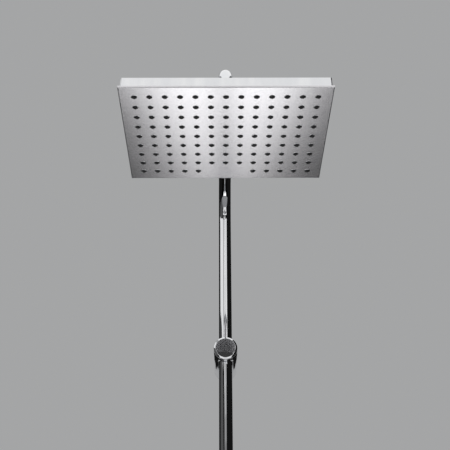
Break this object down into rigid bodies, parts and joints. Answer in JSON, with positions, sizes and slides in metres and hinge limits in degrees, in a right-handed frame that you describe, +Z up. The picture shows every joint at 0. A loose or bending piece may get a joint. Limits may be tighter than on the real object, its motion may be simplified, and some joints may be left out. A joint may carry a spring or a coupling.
{
  "type": "shower column",
  "caption": "Wall-mounted shower column: a bent riser tube through a round bracket, carrying a slim rectangular overhead shower on a ball joint.",
  "frame": {"origin": "centre of the wall bracket's wall face, on the axis of the bracket and of its wall stud", "axes": "+Y into the wall, so the object stands towards -Y; +Z up along the riser; +X to the right of a person who faces the wall"},
  "size_m": [0.23, 0.46, 1.023],
  "materials": {
    "polished_chrome": "mirror polished",
    "satin_chrome": "fine satin",
    "brass": "machined",
    "steel": "machined",
    "white_plastic": "moulded",
    "black_plastic": "moulded",
    "black_rubber": "moulded",
    "black_silicone": "moulded"
  },
  "bodies": {
    "bracket": {"wall_hub": "brass", "bracket_post": "polished_chrome", "bracket_cap": "polished_chrome", "riser_bush": "white_plastic", "grub_screw": "steel"},
    "riser": {"riser_tube": "polished_chrome", "riser_seals": "black_rubber"},
    "union_nut": {"union_nut": "polished_chrome"},
    "swivel": {"swivel_socket": "polished_chrome", "ball_seat": "white_plastic", "ring_nut": "polished_chrome"},
    "head": {"head_housing": "polished_chrome", "chamber_gasket": "black_rubber", "chamber_frame": "black_plastic", "nozzle_mat": "black_silicone", "spray_face": "satin_chrome"}
  },
  "joints": [
    {"name": "arm_swivel", "type": "hinge", "parent": "bracket", "child": "riser", "pos_m": [0, -0.065, 0], "axis": [0, 0, 1], "range_deg": [-45, 45]},
    {"name": "union_nut_spin", "type": "hinge", "parent": "riser", "child": "union_nut", "pos_m": [0, -0.065, -0.754], "axis": [0, 0, 1], "continuous": true},
    {"name": "head_turn", "type": "hinge", "parent": "riser", "child": "swivel", "pos_m": [0, -0.375, 0.1647], "axis": [0, 0, 1], "continuous": true},
    {"name": "head_tilt", "type": "hinge", "parent": "swivel", "child": "head", "pos_m": [0, -0.375, 0.1647], "axis": [1, 0, 0], "range_deg": [-12, 12]}
  ]
}
